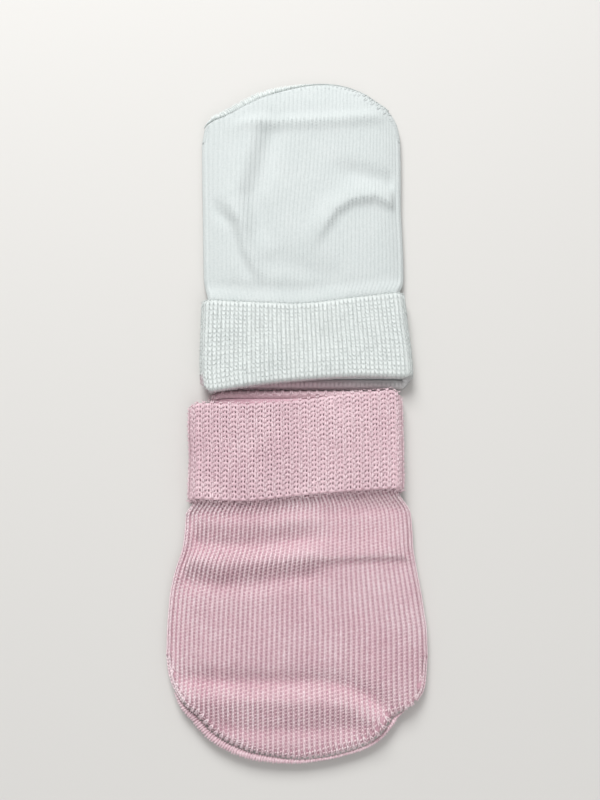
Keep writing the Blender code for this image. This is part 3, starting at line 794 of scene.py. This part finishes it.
def guide_points(name, mitten, patches):
    """Guides on patches of skin. A patch is (surface, numbers, runs, upper, pitch)."""
    parts = []
    for surface, numbers, runs, upper, pitch in patches:
        def skin(aside, ahead):
            return place(mitten, surface(numbers + aside, runs + ahead, upper))
        along = skin(0.0, ALONG_STEP) - skin(0.0, -ALONG_STEP)
        across = skin(ACROSS_STEP, 0.0) - skin(-ACROSS_STEP, 0.0)
        out = unit(np.cross(across, along)) * (mitten.heading if upper else -mitten.heading)
        width = np.linalg.norm(across, axis=-1) / (2.0 * ACROSS_STEP * pitch * MM)
        length = np.linalg.norm(along, axis=-1) / (2.0 * ALONG_STEP * MM)
        sound = (width < 3.0 * MOST) & (length < 2.0 * MOST) & (width > CLOSED_UP) & (length > CLOSED_UP)
        width, length = np.clip(width, LEAST_WIDTH, MOST), np.clip(length, LEAST_LENGTH, MOST)
        cell = np.stack([width, length, np.ones(width.shape)], axis=-1)
        parts.append([values[sound] for values in (skin(0.0, 0.0), unit(along), out, cell)])
    points, wale, outward, cell = (np.concatenate(values) for values in zip(*parts))
    return new_guide(name, points, {"wale": wale, "outward": outward, "cell": cell})


# %% [markdown]
# ## The stitching tree
# The tree puts a copy of a stitch on every guide point, turned with Axes to Rotation. A small random
# share changes each copy's size and tilt, because hand-soft yarn never lies quite evenly. It ends in
# Realize Instances and Set Material, so that the result can become a plain mesh.

# %% Build the tree
TILT_SEED, SIZE_SEED = 11, 29


def stitching_tree():
    tree, given, result = new_group(
        "stitching", "GeometryNodeTree",
        {"Guides": ("Geometry", None), "Stitch": ("Object", None), "Yarn": ("Material", None),
         "Unevenness": ("Float", 0.08), "Tilt": ("Float", 0.08), "Seed": ("Int", 1)},
        {"Stitches": "Geometry"})

    def attribute(name):
        return add_node(tree, "GeometryNodeInputNamedAttribute", {"Name": name}, "Attribute",
                        data_type="FLOAT_VECTOR")

    def spread(amount, seed_shift):
        """A random vector within plus or minus the amount."""
        low = add_node(tree, "ShaderNodeMath", {0: amount, 1: -1.0}, operation="MULTIPLY")
        seed = add_node(tree, "ShaderNodeMath", {0: given["Seed"], 1: seed_shift})
        return add_node(tree, "FunctionNodeRandomValue", {"Min": low, "Max": amount, "Seed": seed},
                        "Value", data_type="FLOAT_VECTOR")

    turn = add_node(tree, "FunctionNodeAxesToRotation",
                    {"Primary Axis": attribute("outward"), "Secondary Axis": attribute("wale")},
                    primary_axis="Z", secondary_axis="Y")
    tilt = add_node(tree, "FunctionNodeRotateRotation",
                    {"Rotation": turn, "Rotate By": spread(given["Tilt"], TILT_SEED)},
                    rotation_space="LOCAL")
    cell = attribute("cell")
    size = add_node(tree, "ShaderNodeVectorMath",
                    {0: cell, 1: spread(given["Unevenness"], SIZE_SEED), 2: cell}, operation="MULTIPLY_ADD")
    stitch = add_node(tree, "GeometryNodeObjectInfo", {"Object": given["Stitch"]}, "Geometry")
    copies = add_node(tree, "GeometryNodeInstanceOnPoints",
                      {"Points": given["Guides"], "Instance": stitch, "Rotation": tilt, "Scale": size})
    real = add_node(tree, "GeometryNodeRealizeInstances", {"Geometry": copies})
    paint = add_node(tree, "GeometryNodeSetMaterial", {"Geometry": real, "Material": given["Yarn"]})
    fill(tree, result, {"Stitches": paint})
    return tree


STITCHING = stitching_tree()
print(len(STITCHING.nodes), "nodes in", STITCHING.name)


# %% Use the tree
def stitch_template(name, parts):
    points, faces = joined(parts)
    template = new_piece(name, np.array(points) * MM, faces, weld=0.0)
    template.hide_render = True
    return template


def flatten_underside(mesh):
    """The strands that lie on the surface are pressed flat by the weight of the cloth."""
    points = np.empty(len(mesh.vertices) * 3, np.float32)
    mesh.vertices.foreach_get("co", points)
    points[2::3] = np.maximum(points[2::3], 0.0)
    mesh.vertices.foreach_set("co", points)
    mesh.update()


def stitched(name, guide, template, material, seed, unevenness=0.08, tilt=0.08):
    """Run the stitching tree on the guides, and keep the result as a plain mesh."""
    modifier = guide.modifiers.new("stitching", "NODES")
    modifier.node_group = STITCHING
    values = {"Stitch": template, "Yarn": material, "Unevenness": unevenness, "Tilt": tilt, "Seed": seed}
    for socket in STITCHING.interface.items_tree:
        if socket.in_out == "INPUT" and socket.name in values:
            modifier[socket.identifier] = values[socket.name]
    bpy.context.view_layer.update()
    evaluated = guide.evaluated_get(bpy.context.evaluated_depsgraph_get())
    mesh = bpy.data.meshes.new_from_object(evaluated)
    for key in ("wale", "outward", "cell"):
        if key in mesh.attributes:
            mesh.attributes.remove(mesh.attributes[key])
    flatten_underside(mesh)
    mesh.name = name
    bpy.data.objects.remove(guide, do_unlink=True)
    return reported(linked(bpy.data.objects.new(name, mesh)))


# %% [markdown]
# ## Stitches on the hands
# A knit stitch shows as a narrow V on the crest of its rib. In the groove beside it lies the purl
# stitch, of which only a short bar of yarn shows, from one rib to the next. A cell of the pattern is
# one V and one bar. The strands are plump and pointed, because thousands of them overlap into
# columns, and the underside gets a plainer cell of fewer faces.

# %% The rib stitch
RIB_PITCH, COURSE = 1.4, 0.92
crest_leg = strand([(0.00, -0.44, -0.27), (0.12, -0.06, -0.14), (0.28, 0.52, -0.16), (0.41, 0.92, -0.46)],
                   [0.165, 0.165], 3)
groove_bar = strand([(0.22, 0.02, -0.44), (0.70, 0.22, -0.60), (1.18, 0.42, -0.44)], [0.17], 4)
plain_leg = strand([(0.02, -0.32, -0.16), (0.20, 0.22, -0.18), (0.52, 0.78, -0.50)], [0.19], 4)
RIB_STITCH = {
    True: stitch_template("rib_stitch", [crest_leg, mirrored(crest_leg), groove_bar]),
    False: stitch_template("plain_rib_stitch", [plain_leg, mirrored(plain_leg)]),
}

# %% Stitches round the corners of the tip
STEEP = 0.74                  # where the rim faces sideways more than this, it belongs to a corner
CORNER_START = 0.88           # and the corners lie past this share of the half width
CORNER_RIBS, CORNER_SAMPLES = 5.0, 400   # no corner is wider than this
CORNER_INSET = 0.3            # the rows start and end this far from the corner's ends


def sideways(mitten, rib):
    """How far the rim at the end of a rib faces to the side."""
    u, _ = rib_place(mitten, rib)
    return np.abs(tip_normals(mitten, swayed(mitten, u, rib_end(mitten, u)))[0])


def corner_patch(mitten, upper, left):
    """The ribs of a side go on along the rim, round the corner of the tip."""
    ribs = mitten.ribs + 2 * SIDE_RIBS
    inward = np.linspace(0.0, CORNER_RIBS, CORNER_SAMPLES)
    rib = SIDE_RIBS + inward if left else ribs - SIDE_RIBS - inward
    rib = rib[:max(2, int(np.argmax(sideways(mitten, rib) < STEEP)))]
    rim = hand_skin(mitten, rib, flat_length(mitten, rib, upper) + QUARTER / 2.0, upper)
    arc = np.concatenate([[0.0], np.cumsum(np.linalg.norm(np.diff(rim, axis=0), axis=-1))])
    def surface(number, run, face):
        share = (SIDE_RIBS - number if left else number - ribs + SIDE_RIBS) / SIDE_RIBS
        at = np.interp(run, arc, rib)
        return hand_skin(mitten, at, flat_length(mitten, at, face) + QUARTER * share, face)
    centres = np.array([0.5, 1.5]) if left else ribs - np.array([0.5, 1.5])
    numbers, runs = np.meshgrid(centres, np.arange(CORNER_INSET, arc[-1] - CORNER_INSET, COURSE))
    return surface, numbers.ravel(), runs.ravel(), upper, RIB_PITCH


# %% Stitches along the ribs
UNDER_CUFF = 2.0              # the stitches start this far under the cuff's hem
RIB_LAG = 0.62                # each rib's stitches lie this share of a course ahead of its neighbour's
OVER_RIM, PAST_END = 0.9, 0.2   # where a rib stops: share of the quarter round, or millimetres
MOST_COURSES = 200


def hand_stitches(mitten, upper):
    """Rows of rib stitches on one face of a hand, at even places along the mitten."""
    ribs = mitten.ribs + 2 * SIDE_RIBS
    numbers, runs = [], []
    for j in range(ribs):
        rib = j + 0.5
        u, turn = rib_place(mitten, rib)
        start = float(mouth_at(mitten, u, upper))
        over_the_rim = turn == 0.0 and (abs(u) < CORNER_START or sideways(mitten, rib) < STEEP)
        end = float(flat_length(mitten, rib, upper)) + (QUARTER * OVER_RIM if over_the_rim else PAST_END)
        first = math.ceil((float(hem_at(mitten, u)) - UNDER_CUFF) / COURSE)
        run = (np.arange(first, MOST_COURSES) + RIB_LAG * j % 1.0) * COURSE - start
        run = run[run < end]
        numbers.append(np.full(len(run), rib))
        runs.append(run)
    patches = [(partial(hand_skin, mitten), np.concatenate(numbers), np.concatenate(runs), upper, RIB_PITCH),
               corner_patch(mitten, upper, True), corner_patch(mitten, upper, False)]
    face = "upper" if upper else "under"
    guide = guide_points(f"{mitten.name}_{face}_guide", mitten, patches)
    return stitched(f"{mitten.name}_hand_{face}_stitches", guide, RIB_STITCH[upper],
                    MATERIALS[mitten.name, "yarn"], seed=3 if upper else 4)


hand_stitching = for_both(lambda mitten: [hand_stitches(mitten, True), hand_stitches(mitten, False)])

# %% [markdown]
# ## The cuffs
# Each cuff is the start of the same tube, turned back so that its reverse side shows. There the knit
# is a finer mesh, and its only strong marks are pairs of small dark slits that lean together. The
# cloth is one closed shell: down the outside, round the fold to the inner lip, and back along the
# hand. Its grid has lines on both edges of every slit and one along its middle, and the middle points
# are pushed deep into the cloth. That gives thousands of real pits without a single cut.

# %% The slits of a cuff
CUFF_PITCH, CUFF_COURSE = 2.6, 1.5
CUFF_DEPTH = {"white": 0.16, "pink": 0.24}   # how far the cuff's ground lies behind its strands
FIRST_COURSE = 1.35           # the first course lies on the round of the hem
SLIT_AT, SLIT_HALF, SLIT_REACH = 0.88, 0.21, 0.50   # across a cell, half its width, half its length
SLIT_LEAN = 0.18              # the slits of a pair lean together by this much at each end
SLIT_DEPTH = {"white": 0.30, "pink": 1.2}
# painted shade: a slit's colour is darkened by its depth, and fully at this depth
SLIT_DARK = 0.9               # a slit of this depth is fully dark
SLIT_SEED, SLIT_UNEVEN = 17, 0.6
COURSES = np.arange(FIRST_COURSE, CUFF_RUN - SLIT_REACH, CUFF_COURSE)


def slit_depths(mitten, columns, courses):
    """Depth of every slit: deep in some places and nearly closed in others, as the knit stretches."""
    chance = np.random.default_rng(SLIT_SEED)
    u = 2.0 * columns[None, :] / CUFF_COLUMNS - 1.0
    waves = np.sin(3.1 * u + 0.11 * courses[:, None]) * np.sin(0.9 + 2.3 * u - 0.19 * courses[:, None])
    stretch = 0.50 + 0.50 * np.exp(-((u + 0.3) / 0.42) ** 2) + 0.16 * waves
    uneven = 1.0 + SLIT_UNEVEN * (chance.random((len(courses), len(columns))) - 0.5)
    flat = (courses > HEM_ARC) & (courses < HEM_ARC + CUFF_LEG + 0.7 * FOLD_ARC)
    return SLIT_DEPTH[mitten.name] * stretch * uneven * flat[:, None]


# %% Build a cuff's cloth
GRID_START = 0.25             # the outside starts this far round the hem
LINING_START, LINING_ROWS = 4.0, 12


def make_cuff_cloth(mitten):
    half = [SLIT_AT - SLIT_HALF, SLIT_AT, SLIT_AT + SLIT_HALF]
    marks = np.array([-CUFF_PITCH / 2.0, *(-x for x in reversed(half)), 0.0, *half]) / CUFF_PITCH
    lean = np.tile([0, -1, -1, -1, 0, 1, 1, 1], CUFF_COLUMNS) * SLIT_LEAN / CUFF_PITCH
    columns = np.append((np.arange(CUFF_COLUMNS)[:, None] + 0.5 + marks).ravel(), CUFF_COLUMNS)
    lean = np.append(lean, 0.0)
    is_slit = np.append(np.tile([0, 0, 1, 0, 0, 0, 1, 0], CUFF_COLUMNS), 0) == 1
    steps = (COURSES[:, None] + np.array([-SLIT_REACH, 0.0, SLIT_REACH])).ravel()
    s = np.concatenate([[GRID_START], steps, [CUFF_RUN]])
    rise = np.concatenate([[0.0], np.tile([-1.0, 0.0, 1.0], len(COURSES)), [0.0]])
    depth = np.full((len(s), len(columns)), CUFF_DEPTH[mitten.name])
    slit_rows = np.ix_(2 + 3 * np.arange(len(COURSES)), is_slit)
    pits = slit_depths(mitten, columns[is_slit], COURSES)
    depth[slit_rows] += pits
    # painted shade: the deeper a slit, the darker its colour is painted, through the slit attribute
    mark = np.zeros(depth.shape)
    mark[slit_rows] = np.clip(pits / SLIT_DARK, 0.0, 1.0)
    leaning = np.clip(columns[None, :] + rise[:, None] * lean[None, :], 0.0, CUFF_COLUMNS)
    inside = [(LIP - SEAM_GAP, 0.0), (FOLD_ROUND, 0.0), (CLOTH, SEAM_GAP / 2.0), (FOLD_ROUND, SEAM_GAP)]
    inside += [(run, SEAM_GAP) for run in np.linspace(LINING_START, HEM_REACH - HEM_ROUND, LINING_ROWS)]
    grids = {}
    for upper in (True, False):
        outside = cuff_skin(mitten, leaning, s[:, None], upper, depth if upper else CUFF_DEPTH[mitten.name])
        lining = [cuff_place(mitten, columns, run, height, upper) for run, height in inside]
        grids[upper] = np.concatenate([outside, lining, outside[:1]])
    share_edges(grids, (np.s_[:, 0], np.s_[:, -1]))
    rows, width = grids[True].shape[:2]
    faces = grid_faces(rows, width) + grid_faces(rows, width, rows * width)
    flags = np.zeros((2, rows, width))
    flags[0, :len(s)] = mark
    print(int(is_slit.sum() * len(COURSES)), "slits on", mitten.name)
    points = place(mitten, np.concatenate([grids[True], grids[False]])).reshape(-1, 3)
    return new_piece(f"{mitten.name}_cuff_cloth", points, faces, MATERIALS[mitten.name, "cuff_ground"],
                     slit=flags)


cuff_cloth = for_both(make_cuff_cloth)

# %% [markdown]
# ## Strands of the cuffs
# Each cell of the mesh has four flat strands. Two run up the middle of the column and part a little
# towards the top. Two cross from column to column, and meet like a low roof between the slits. The
# white cuff is knitted twice as fine, so its cells are half as wide.

# %% The cuff stitch
CUFF_SINK = {"white": 0.112, "pink": 0.0}    # the white knit is softer, so its strands stand out less
CAP_SINK = {"white": 0.01, "pink": 0.0}      # and its strands across the ribs lie a little deeper
CUFF_SPLIT = {"white": 2, "pink": 1}         # it is knitted finer too: more stitches to a column
CUFF_SIDES = {"white": 3, "pink": 6}         # and its finer strands need fewer faces
LEG = np.array([(0.14, -0.92, -0.24), (0.20, -0.30, -0.14), (0.30, 0.40, -0.14), (0.37, 1.00, -0.25)])
CAP = np.array([(0.50, 0.54, -0.27), (0.80, 0.68, -0.21), (1.10, 0.80, -0.20), (1.38, 0.86, -0.25)])


def cuff_stitch(name):
    legs = [strand(LEG, [0.20, 0.21], CUFF_SIDES[name], flatness=0.6),
            strand(CAP - [0.0, 0.0, CAP_SINK[name]], [0.14, 0.15], CUFF_SIDES[name], flatness=0.3)]
    legs = [([p / [CUFF_SPLIT[name], 1.0, 1.0] for p in points], faces) for points, faces in legs]
    return stitch_template(f"{name}_cuff_stitch", legs + [mirrored(leg) for leg in legs])


CUFF_STITCH = {name: cuff_stitch(name) for name in ("white", "pink")}


# %% Stitches on the cuffs
HEM_COURSE = 0.6              # one more row of strands lies on the round of the hem


def cuff_stitches(mitten):
    split = CUFF_SPLIT[mitten.name]
    def surface(column, s, face):
        return cuff_skin(mitten, column, s, face, CUFF_SINK[mitten.name])
    middles = (np.arange(CUFF_COLUMNS * split) + 0.5) / split
    number, run = np.meshgrid(middles, np.append(HEM_COURSE, COURSES))
    patches = [(surface, number.ravel(), run.ravel(), upper, CUFF_PITCH) for upper in (True, False)]
    guide = guide_points(f"{mitten.name}_cuff_guide", mitten, patches)
    return stitched(f"{mitten.name}_cuff_stitches", guide, CUFF_STITCH[mitten.name],
                    MATERIALS[mitten.name, "cuff"], seed=7, unevenness=0.18, tilt=0.12)


cuff_stitching = for_both(cuff_stitches)

# %% [markdown]
# ## The seams over the tips
# The last row of stitches is closed by linking: a tight cord of loops runs over the rim of the tip.
# The seam leans over as it goes, so more of it shows on one side than on the other. Its width is read
# from the mitten's table. A core carries it, and small loops of yarn wrap the core from edge to edge.

# %% The line of the seam
SEAM_STEP = {"white": 0.66, "pink": 0.74}   # distance between the loops
SEAM_RAISED = 0.7             # the cord rides a little above the middle of the rim
SEAM_LEAST = 0.25             # where the seam is narrower than this, it stays inside the cloth
SEAM_LOW, SEAM_RISE = 0.9, 0.6   # its height at no width, and how much higher each millimetre makes it
RIM_SAMPLES = 1600


def rim_line(mitten, count):
    """Places on the rim of the tip, evenly spaced: middle of the seam, outward direction and width."""
    u = np.sin(np.linspace(-math.pi / 2.0, math.pi / 2.0, RIM_SAMPLES))
    end = tip_end(mitten, u)
    nx, ny = tip_normals(mitten, u)
    width = read_table(mitten.rim, "across", "seam", u)
    reach = BULGE + read_table(mitten.rim, "across", "cloth", u) + SEAM_GAP / 2.0 + width / 2.0
    x, y = across_at(mitten, u, end) + nx * reach, end + ny * reach
    length = np.concatenate([[0.0], np.cumsum(np.hypot(np.diff(x), np.diff(y)))])
    shown = length[width > SEAM_LEAST]
    at = np.linspace(shown[0], shown[-1], count)
    x, y, nx, ny, width = (np.interp(at, length, values) for values in (x, y, nx, ny, width))
    line = np.stack([x, y, np.full(count, FLAT / 2.0 + SEAM_RAISED)], axis=-1)
    return line, unit(np.stack([nx, ny, np.zeros(count)], axis=-1)), width, shown[-1] - shown[0]


def seam_height(width):
    return np.minimum(SEAM_HEIGHT, SEAM_LOW + SEAM_RISE * width)


# %% The core of the seam
CORE_SIDES, CORE_RINGS = 10, 160
CORE_WIDE, CORE_HIGH = 0.42, 0.38   # half the core's size, as a share of the seam's


def make_seam_core(mitten):
    centre, normal, width, _ = rim_line(mitten, CORE_RINGS)
    rings = []
    for k in range(CORE_SIDES):
        angle = 2.0 * math.pi * k / CORE_SIDES
        aside = (CORE_WIDE * math.cos(angle) * width)[:, None] * normal
        above = (CORE_HIGH * math.sin(angle) * seam_height(width))[:, None] * np.array([0.0, 0.0, 1.0])
        rings.append(centre + aside + above)
    grid = np.stack(rings + rings[:1], axis=1)
    faces = grid_faces(CORE_RINGS, CORE_SIDES + 1)
    last = (CORE_RINGS - 1) * (CORE_SIDES + 1)
    faces.append(list(range(CORE_SIDES)))
    faces.append(list(range(last, last + CORE_SIDES)))
    return new_piece(f"{mitten.name}_seam_core", place(mitten, grid.reshape(-1, 3)), faces,
                     MATERIALS[mitten.name, "cuff"])


# %% The loops of the seam
LOOP_STEPS, LOOP_SIDES = 6, 6
LOOP_WIDE, LOOP_HIGH, LOOP_LEAN, LOOP_RADIUS = 0.5, 0.42, 0.5, 0.19
LOOP_STEP = 0.62              # a loop of this length is drawn at its own thickness
LOOP_START, LOOP_SWEEP = 1.12, 1.24   # in half turns


def loop_strand():
    """A loop of yarn over the core, from its inner edge to its outer one."""
    path = []
    for k in range(LOOP_STEPS + 1):
        angle = math.pi * (LOOP_START - LOOP_SWEEP * k / LOOP_STEPS)
        path.append((LOOP_LEAN * (k / LOOP_STEPS - 0.5),
                     LOOP_WIDE * math.cos(angle), LOOP_HIGH * math.sin(angle)))
    return strand(path, [LOOP_RADIUS] * (LOOP_STEPS - 1), LOOP_SIDES)


SEAM_LOOP = stitch_template("seam_loop", [loop_strand()])


def seam_loops(mitten):
    count = int(rim_line(mitten, 2)[3] / SEAM_STEP[mitten.name])
    centre, normal, width, _ = rim_line(mitten, count)
    size = np.stack([np.full(count, SEAM_STEP[mitten.name] / LOOP_STEP), width, seam_height(width)], axis=-1)
    vectors = {"wale": normal * np.array([1.0, mitten.heading, 1.0]),
               "outward": np.tile([0.0, 0.0, 1.0], (count, 1)), "cell": size}
    guide = new_guide(f"{mitten.name}_seam_guide", place(mitten, centre), vectors)
    return stitched(f"{mitten.name}_seam_loops", guide, SEAM_LOOP, MATERIALS[mitten.name, "cuff"],
                    seed=13, unevenness=0.1, tilt=0.14)


seams = for_both(lambda mitten: (make_seam_core(mitten), seam_loops(mitten)))

# %% [markdown]
# ## The pieces on the body
# The templates have done their work and are removed. Every piece then rides on the one body, and the
# solids that the pieces stand for are hidden.

# %% Ride and replace
for template in (*RIB_STITCH.values(), *CUFF_STITCH.values(), SEAM_LOOP):
    bpy.data.objects.remove(template, do_unlink=True)

Cut = namedtuple("Cut", "around length share")

for name in ("white", "pink"):
    hand, cuff, (core, loops) = hand_cloth[name], cuff_cloth[name], seams[name]
    for slot, pieces in (("knit", (hand, *hand_stitching[name])),
                         ("cuff_knit", (cuff, cuff_stitching[name])), ("seam", (core, loops))):
        for piece in pieces:
            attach(piece, BODY)
    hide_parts(f"{name}_hand")
    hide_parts(f"{name}_cuff")
    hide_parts(f"{name}_tip_seam")

# %% [markdown]
# ## Floor, light and camera
# The pair lies on a plain pale floor. A broad soft panel beyond the white tip gives the folds their
# shading, a weaker one fills from the near side, and the pale room lights the rest.

# %% Floor
floor_mesh = bpy.data.meshes.new("floor")
floor_mesh.from_pydata([(-3, -3, 0), (3, -3, 0), (3, 3, 0), (-3, 3, 0)], [], [(0, 1, 2, 3)])
floor = linked(bpy.data.objects.new("floor", floor_mesh))
floor_paint = bpy.data.materials.new("pale_floor")
floor_paint.use_nodes = True
floor_shader = floor_paint.node_tree.nodes["Principled BSDF"]
floor_shader.inputs["Base Color"].default_value = (0.60, 0.59, 0.57, 1.0)
floor_shader.inputs["Roughness"].default_value = 0.9
floor_mesh.materials.append(floor_paint)


# %% Lamps and room
def add_lamp(name, stand, size, power):
    """A square soft panel that faces the origin."""
    data = bpy.data.lights.new(name, "AREA")
    data.shape = "SQUARE"
    data.size = size
    data.energy = power
    lamp = linked(bpy.data.objects.new(name, data))
    lamp.location = stand
    lamp.rotation_euler = Vector(stand).to_track_quat("Z", "Y").to_euler()


add_lamp("far_panel", (-0.15, 0.60, 0.60), size=0.45, power=7.9)
add_lamp("near_fill", (0.30, -0.70, 0.80), size=0.90, power=3.5)
world = bpy.data.worlds.new("room")
world.use_nodes = True
world.node_tree.nodes["Background"].inputs["Color"].default_value = (1.0, 1.0, 1.0, 1.0)
world.node_tree.nodes["Background"].inputs["Strength"].default_value = 0.44
bpy.context.scene.world = world
bpy.context.scene.view_settings.view_transform = "Standard"

# %% Camera
ELEVATION = math.radians(75.5)
DISTANCE = 0.2477
AIM = Vector((0.00085, -0.0035, 0.0))
lens = bpy.data.cameras.new("camera")
lens.lens = 36.0
lens.sensor_width = 36.0
lens.clip_start = 0.01
camera = linked(bpy.data.objects.new("camera", lens))
away = Vector((0.0, -math.cos(ELEVATION), math.sin(ELEVATION)))
camera.location = AIM + away * DISTANCE
camera.rotation_euler = away.to_track_quat("Z", "Y").to_euler()
bpy.context.scene.camera = camera
